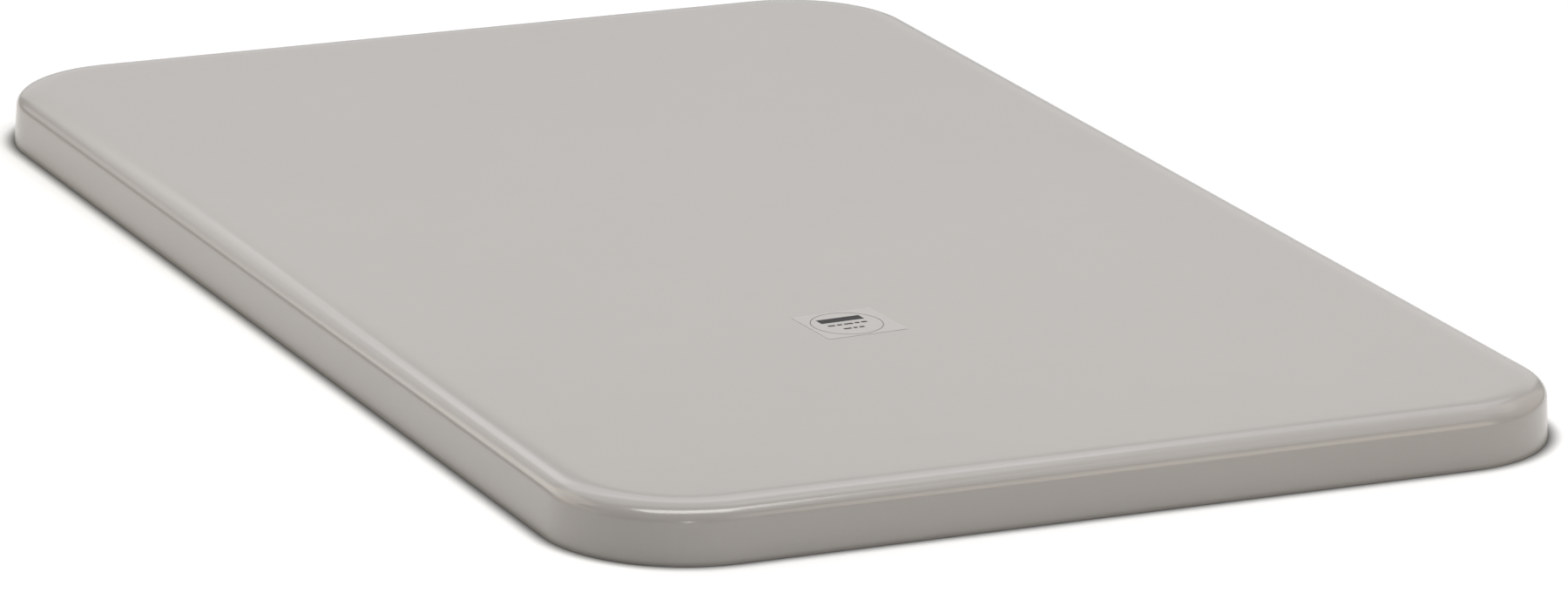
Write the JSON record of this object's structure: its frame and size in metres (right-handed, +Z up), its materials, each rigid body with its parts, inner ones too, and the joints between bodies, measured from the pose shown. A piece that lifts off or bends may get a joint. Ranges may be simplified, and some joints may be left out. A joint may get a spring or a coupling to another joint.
{
  "type": "container lid",
  "caption": "Loose flat lid of a rectangular glass-fibre container, with a turned-down edge, rounded corners, foam-cored ribs underneath and a small printed label.",
  "frame": {"origin": "centre of the open edge's plane, which is the bottom of the lid as it lies", "axes": "+Z up, out of the panel's top; +Y along the lid's length, away from the label's end; +X across"},
  "size_m": [0.75, 1.2, 0.0412],
  "materials": {
    "gelcoat": "glossy warm light grey gelcoat",
    "glass_laminate": "hand-laid glass mat laminate under a grey topcoat, uneven, half gloss",
    "rib_foam": "rigid polyurethane foam, matt, open cut cells",
    "label_adhesive": "dull pressure-sensitive adhesive",
    "label_film": "thin milky film, satin, a shade lighter than the gelcoat",
    "label_ink": "black print, matt, slightly worn"
  },
  "bodies": {
    "root": {"gelcoat_skin": "gelcoat", "laminate_shell": "glass_laminate", "edge_ply": "glass_laminate", "rib_core_front": "rib_foam", "rib_capping_front": "glass_laminate", "rib_core_middle": "rib_foam", "rib_capping_middle": "glass_laminate", "rib_core_rear": "rib_foam", "rib_capping_rear": "glass_laminate", "label_adhesive": "label_adhesive", "label_film": "label_film", "label_print": "label_ink"}
  },
  "joints": []
}
